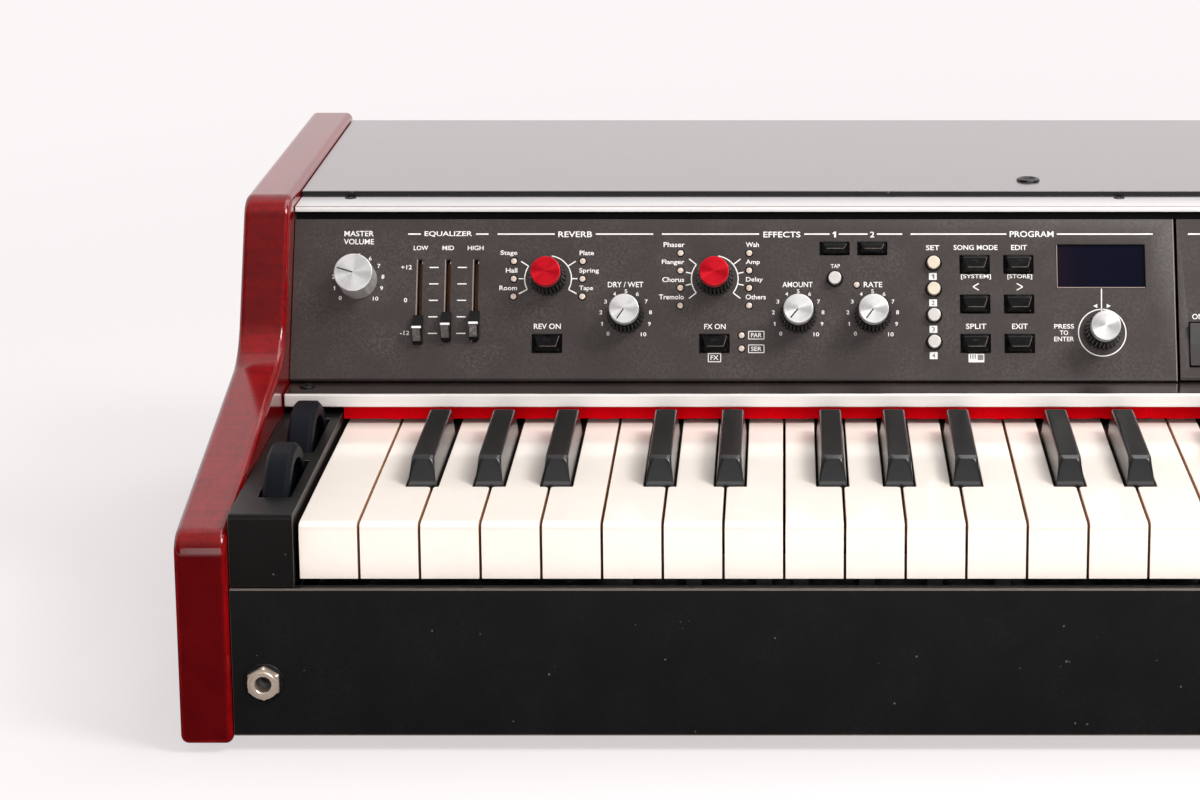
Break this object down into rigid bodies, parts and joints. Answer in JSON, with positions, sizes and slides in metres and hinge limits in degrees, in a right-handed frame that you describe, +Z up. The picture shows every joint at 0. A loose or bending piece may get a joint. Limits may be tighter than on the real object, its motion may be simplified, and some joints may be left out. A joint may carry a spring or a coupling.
{
  "type": "stage piano",
  "caption": "Stage piano with wooden sides, a sloping control panel with knobs, sliders and buttons, two thumb wheels and hinged keys.",
  "frame": {"origin": "middle of the instrument's outline, on the plane of its feet", "axes": "+X to the right along the keys, +Y to the back, +Z up"},
  "size_m": [1.1038, 0.389, 0.182],
  "materials": {
    "cherry_wood": "high-gloss red cherry lacquer over visible grain",
    "black_steel": "fine textured black powder coat",
    "cover_steel": "satin dark grey paint",
    "panel": "satin charcoal with white print",
    "bright_trim": "brushed and anodised",
    "rail_metal": "brushed, slightly warm",
    "felt": "scarlet wool felt",
    "white_key": "glossy warm white",
    "black_key": "satin gloss black",
    "keybed_steel": "zinc-plated, with moulded keys",
    "box_plastic": "fine-grained dark grey",
    "wheel_plastic": "satin blue-black",
    "knob": "spun cap on a black ribbed skirt",
    "stem_metal": "plain turned steel",
    "black_gloss": "glossy black",
    "silver_button": "metallised plastic",
    "slider_cap": "satin black with a white line",
    "display": "dark blue-black window",
    "nickel": "nickel plated",
    "board": "green circuit board",
    "rocker_plastic": "satin grey"
  },
  "bodies": {
    "case": {"lower_case": "black_steel", "side_left": "cherry_wood", "side_right": "cherry_wood", "top_cover": "cover_steel", "rear_panel": "black_steel", "top_trim": "bright_trim", "key_rail": "rail_metal", "felt_strip": "felt", "control_panel": "panel", "module_panel_a": "panel", "module_panel_b": "panel", "display_board": "display", "wheel_box": "box_plastic", "cheek_block": "box_plastic", "keybed": "keybed_steel", "headphone_jack": "nickel", "rear_sockets": "slider_cap", "circuit_board": "board"},
    "key_c": {"key_c": "white_key"},
    "key_c_sharp": {"key_c_sharp": "black_key"},
    "key_d": {"key_d": "white_key"},
    "key_d_sharp": {"key_d_sharp": "black_key"},
    "key_e": {"key_e": "white_key"},
    "key_f": {"key_f": "white_key"},
    "key_f_sharp": {"key_f_sharp": "black_key"},
    "key_g": {"key_g": "white_key"},
    "key_g_sharp": {"key_g_sharp": "black_key"},
    "key_a": {"key_a": "white_key"},
    "key_a_sharp": {"key_a_sharp": "black_key"},
    "key_b": {"key_b": "white_key"},
    "wheel_pitch": {"wheel_pitch": "wheel_plastic"},
    "wheel_mod": {"wheel_mod": "wheel_plastic"},
    "knob_volume": {"knob_volume": "knob"},
    "knob_reverb": {"knob_reverb": "knob"},
    "knob_reverb_level": {"knob_reverb_level": "knob"},
    "knob_effect": {"knob_effect": "knob"},
    "knob_effect_amount": {"knob_effect_amount": "knob"},
    "knob_effect_rate": {"knob_effect_rate": "knob"},
    "encoder_stem": {"encoder_stem": "stem_metal"},
    "encoder_knob": {"encoder_knob": "knob"},
    "slider_low": {"slider_low": "slider_cap"},
    "slider_mid": {"slider_mid": "slider_cap"},
    "slider_high": {"slider_high": "slider_cap"},
    "button_reverb": {"button_reverb": "black_gloss"},
    "button_effect": {"button_effect": "black_gloss"},
    "button_song": {"button_song": "black_gloss"},
    "button_edit": {"button_edit": "black_gloss"},
    "button_back": {"button_back": "black_gloss"},
    "button_next": {"button_next": "black_gloss"},
    "button_split": {"button_split": "black_gloss"},
    "button_exit": {"button_exit": "black_gloss"},
    "button_effect_1": {"button_effect_1": "black_gloss"},
    "button_effect_2": {"button_effect_2": "black_gloss"},
    "button_tap": {"button_tap": "silver_button"},
    "button_set_1": {"button_set_1": "silver_button"},
    "button_set_2": {"button_set_2": "silver_button"},
    "button_set_3": {"button_set_3": "silver_button"},
    "button_set_4": {"button_set_4": "silver_button"},
    "rocker_module": {"rocker_module": "rocker_plastic"},
    "rocker_power": {"rocker_power": "rocker_plastic"}
  },
  "joints": [
    {"name": "key_c_hinge", "type": "hinge", "parent": "case", "child": "key_c", "pos_m": [-0.38048, 0.0195, 0.0835], "axis": [1, 0, 0], "range_deg": [0, 2.8], "stiffness_Nm_per_rad": 0.5, "springref_deg": -14.32},
    {"name": "key_c_sharp_hinge", "type": "hinge", "parent": "case", "child": "key_c_sharp", "pos_m": [-0.36715, 0.0195, 0.0835], "axis": [1, 0, 0], "range_deg": [0, 2.8], "stiffness_Nm_per_rad": 0.5, "springref_deg": -14.32},
    {"name": "key_d_hinge", "type": "hinge", "parent": "case", "child": "key_d", "pos_m": [-0.35305, 0.0195, 0.0835], "axis": [1, 0, 0], "range_deg": [0, 2.8], "stiffness_Nm_per_rad": 0.5, "springref_deg": -14.32},
    {"name": "key_d_sharp_hinge", "type": "hinge", "parent": "case", "child": "key_d_sharp", "pos_m": [-0.33895, 0.0195, 0.0835], "axis": [1, 0, 0], "range_deg": [0, 2.8], "stiffness_Nm_per_rad": 0.5, "springref_deg": -14.32},
    {"name": "key_e_hinge", "type": "hinge", "parent": "case", "child": "key_e", "pos_m": [-0.32508, 0.0195, 0.0835], "axis": [1, 0, 0], "range_deg": [0, 2.8], "stiffness_Nm_per_rad": 0.5, "springref_deg": -14.32},
    {"name": "key_f_hinge", "type": "hinge", "parent": "case", "child": "key_f", "pos_m": [-0.31057, 0.0195, 0.0835], "axis": [1, 0, 0], "range_deg": [0, 2.8], "stiffness_Nm_per_rad": 0.5, "springref_deg": -14.32},
    {"name": "key_f_sharp_hinge", "type": "hinge", "parent": "case", "child": "key_f_sharp", "pos_m": [-0.29785, 0.0195, 0.0835], "axis": [1, 0, 0], "range_deg": [0, 2.8], "stiffness_Nm_per_rad": 0.5, "springref_deg": -14.32},
    {"name": "key_g_hinge", "type": "hinge", "parent": "case", "child": "key_g", "pos_m": [-0.28445, 0.0195, 0.0835], "axis": [1, 0, 0], "range_deg": [0, 2.8], "stiffness_Nm_per_rad": 0.5, "springref_deg": -14.32},
    {"name": "key_g_sharp_hinge", "type": "hinge", "parent": "case", "child": "key_g_sharp", "pos_m": [-0.27105, 0.0195, 0.0835], "axis": [1, 0, 0], "range_deg": [0, 2.8], "stiffness_Nm_per_rad": 0.5, "springref_deg": -14.32},
    {"name": "key_a_hinge", "type": "hinge", "parent": "case", "child": "key_a", "pos_m": [-0.25755, 0.0195, 0.0835], "axis": [1, 0, 0], "range_deg": [0, 2.8], "stiffness_Nm_per_rad": 0.5, "springref_deg": -14.32},
    {"name": "key_a_sharp_hinge", "type": "hinge", "parent": "case", "child": "key_a_sharp", "pos_m": [-0.24405, 0.0195, 0.0835], "axis": [1, 0, 0], "range_deg": [0, 2.8], "stiffness_Nm_per_rad": 0.5, "springref_deg": -14.32},
    {"name": "key_b_hinge", "type": "hinge", "parent": "case", "child": "key_b", "pos_m": [-0.23062, 0.0195, 0.0835], "axis": [1, 0, 0], "range_deg": [0, 2.8], "stiffness_Nm_per_rad": 0.5, "springref_deg": -14.32},
    {"name": "wheel_pitch_turn", "type": "hinge", "parent": "case", "child": "wheel_pitch", "pos_m": [-0.51685, -0.1415, 0.0828], "axis": [1, 0, 0], "range_deg": [-40, 40], "stiffness_Nm_per_rad": 0.05},
    {"name": "wheel_mod_turn", "type": "hinge", "parent": "case", "child": "wheel_mod", "pos_m": [-0.51685, -0.0805, 0.0828], "axis": [1, 0, 0], "range_deg": [-40, 40]},
    {"name": "knob_volume_turn", "type": "hinge", "parent": "case", "child": "knob_volume", "pos_m": [-0.50302, -0.01148, 0.14538], "axis": [0, 0.9063, -0.4226], "range_deg": [-71.6, 218.4]},
    {"name": "knob_reverb_turn", "type": "hinge", "parent": "case", "child": "knob_reverb", "pos_m": [-0.42024, -0.01119, 0.14602], "axis": [0, 0.9063, -0.4226], "continuous": true},
    {"name": "knob_reverb_level_turn", "type": "hinge", "parent": "case", "child": "knob_reverb_level", "pos_m": [-0.38619, -0.01816, 0.13106], "axis": [0, 0.9063, -0.4226], "range_deg": [0, 290]},
    {"name": "knob_effect_turn", "type": "hinge", "parent": "case", "child": "knob_effect", "pos_m": [-0.34757, -0.01119, 0.14602], "axis": [0, 0.9063, -0.4226], "continuous": true},
    {"name": "knob_effect_amount_turn", "type": "hinge", "parent": "case", "child": "knob_effect_amount", "pos_m": [-0.31121, -0.01816, 0.13106], "axis": [0, 0.9063, -0.4226], "range_deg": [0, 290]},
    {"name": "knob_effect_rate_turn", "type": "hinge", "parent": "case", "child": "knob_effect_rate", "pos_m": [-0.27881, -0.01816, 0.13106], "axis": [0, 0.9063, -0.4226], "range_deg": [0, 290]},
    {"name": "encoder_push", "type": "slide", "parent": "case", "child": "encoder_stem", "axis": [0, 0.9063, -0.4226], "range_m": [0, 0.0008], "stiffness_N_per_m": 500, "springref_m": -0.001},
    {"name": "encoder_turn", "type": "hinge", "parent": "encoder_stem", "child": "encoder_knob", "pos_m": [-0.1792, -0.02129, 0.12436], "axis": [0, 0.9063, -0.4226], "continuous": true},
    {"name": "slider_low_slide", "type": "slide", "parent": "case", "child": "slider_low", "axis": [0, 0.4226, 0.9063], "range_m": [-0.0012, 0.028]},
    {"name": "slider_mid_slide", "type": "slide", "parent": "case", "child": "slider_mid", "axis": [0, 0.4226, 0.9063], "range_m": [-0.0026, 0.0266]},
    {"name": "slider_high_slide", "type": "slide", "parent": "case", "child": "slider_high", "axis": [0, 0.4226, 0.9063], "range_m": [-0.0031, 0.0261]},
    {"name": "button_reverb_push", "type": "slide", "parent": "case", "child": "button_reverb", "axis": [0, 0.9063, -0.4226], "range_m": [0, 0.001], "stiffness_N_per_m": 300, "springref_m": -0.001},
    {"name": "button_effect_push", "type": "slide", "parent": "case", "child": "button_effect", "axis": [0, 0.9063, -0.4226], "range_m": [0, 0.001], "stiffness_N_per_m": 300, "springref_m": -0.001},
    {"name": "button_song_push", "type": "slide", "parent": "case", "child": "button_song", "axis": [0, 0.9063, -0.4226], "range_m": [0, 0.001], "stiffness_N_per_m": 300, "springref_m": -0.001},
    {"name": "button_edit_push", "type": "slide", "parent": "case", "child": "button_edit", "axis": [0, 0.9063, -0.4226], "range_m": [0, 0.001], "stiffness_N_per_m": 300, "springref_m": -0.001},
    {"name": "button_back_push", "type": "slide", "parent": "case", "child": "button_back", "axis": [0, 0.9063, -0.4226], "range_m": [0, 0.001], "stiffness_N_per_m": 300, "springref_m": -0.001},
    {"name": "button_next_push", "type": "slide", "parent": "case", "child": "button_next", "axis": [0, 0.9063, -0.4226], "range_m": [0, 0.001], "stiffness_N_per_m": 300, "springref_m": -0.001},
    {"name": "button_split_push", "type": "slide", "parent": "case", "child": "button_split", "axis": [0, 0.9063, -0.4226], "range_m": [0, 0.001], "stiffness_N_per_m": 300, "springref_m": -0.001},
    {"name": "button_exit_push", "type": "slide", "parent": "case", "child": "button_exit", "axis": [0, 0.9063, -0.4226], "range_m": [0, 0.001], "stiffness_N_per_m": 300, "springref_m": -0.001},
    {"name": "button_effect_1_push", "type": "slide", "parent": "case", "child": "button_effect_1", "axis": [0, 0.9063, -0.4226], "range_m": [0, 0.001], "stiffness_N_per_m": 300, "springref_m": -0.001},
    {"name": "button_effect_2_push", "type": "slide", "parent": "case", "child": "button_effect_2", "axis": [0, 0.9063, -0.4226], "range_m": [0, 0.001], "stiffness_N_per_m": 300, "springref_m": -0.001},
    {"name": "button_tap_push", "type": "slide", "parent": "case", "child": "button_tap", "axis": [0, 0.9063, -0.4226], "range_m": [0, 0.001], "stiffness_N_per_m": 300, "springref_m": -0.001},
    {"name": "button_set_1_push", "type": "slide", "parent": "case", "child": "button_set_1", "axis": [0, 0.9063, -0.4226], "range_m": [0, 0.001], "stiffness_N_per_m": 300, "springref_m": -0.001},
    {"name": "button_set_2_push", "type": "slide", "parent": "case", "child": "button_set_2", "axis": [0, 0.9063, -0.4226], "range_m": [0, 0.001], "stiffness_N_per_m": 300, "springref_m": -0.001},
    {"name": "button_set_3_push", "type": "slide", "parent": "case", "child": "button_set_3", "axis": [0, 0.9063, -0.4226], "range_m": [0, 0.001], "stiffness_N_per_m": 300, "springref_m": -0.001},
    {"name": "button_set_4_push", "type": "slide", "parent": "case", "child": "button_set_4", "axis": [0, 0.9063, -0.4226], "range_m": [0, 0.001], "stiffness_N_per_m": 300, "springref_m": -0.001},
    {"name": "rocker_module_tip", "type": "hinge", "parent": "case", "child": "rocker_module", "pos_m": [-0.1363, -0.02258, 0.11922], "axis": [1, 0, 0], "range_deg": [-12, 0]},
    {"name": "rocker_power_tip", "type": "hinge", "parent": "case", "child": "rocker_power", "pos_m": [0.08, 0.1888, 0.051], "axis": [1, 0, 0], "range_deg": [-12, 0]}
  ]
}
